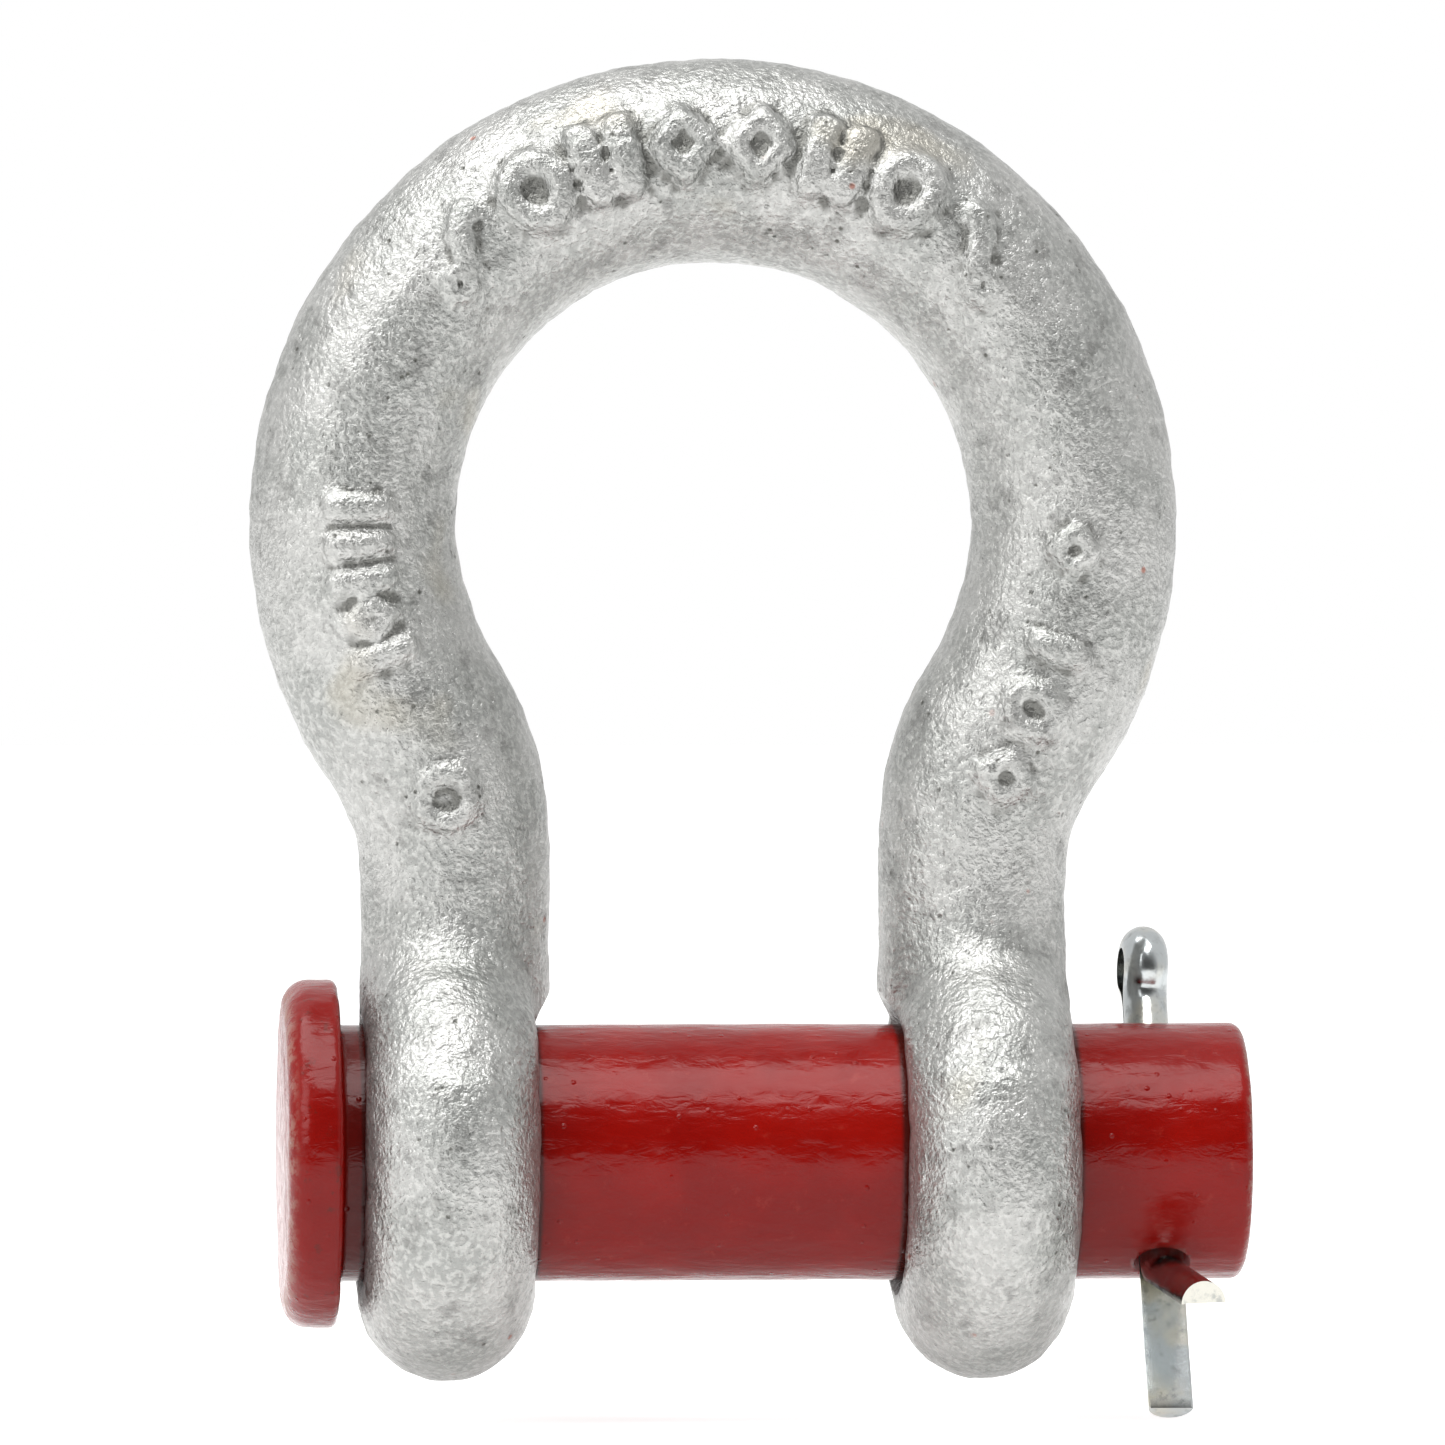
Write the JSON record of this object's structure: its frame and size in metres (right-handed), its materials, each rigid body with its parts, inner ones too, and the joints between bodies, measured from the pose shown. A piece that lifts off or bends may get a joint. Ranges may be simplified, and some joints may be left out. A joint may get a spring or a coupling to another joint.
{
  "type": "bow shackle",
  "caption": "Galvanised bow shackle with a red headed round pin held by a split pin.",
  "frame": {"origin": "middle of the pin's axis, halfway between the two ears", "axes": "+X along the pin's axis towards the split pin, +Z along the line of pull towards the crown, -Y the side the split pin's leg is bent to"},
  "size_m": [0.0351, 0.016, 0.0478],
  "materials": {
    "zinc": "hot-dip galvanised forged steel, grainy satin",
    "red_paint": "glossy red paint on forged steel",
    "bright_zinc": "bright zinc-plated steel wire"
  },
  "bodies": {
    "bow": {"bow": "zinc"},
    "round_pin": {"round_pin": "red_paint"},
    "split_pin": {"split_pin": "bright_zinc"}
  },
  "joints": [
    {"name": "pin_turn", "type": "hinge", "parent": "bow", "child": "round_pin", "pos_m": [0, 0, 0], "axis": [1, 0, 0], "continuous": true},
    {"name": "split_pin_turn", "type": "hinge", "parent": "round_pin", "child": "split_pin", "pos_m": [0.01565, 0, 0], "axis": [0, 0.515, 0.8572], "continuous": true}
  ]
}
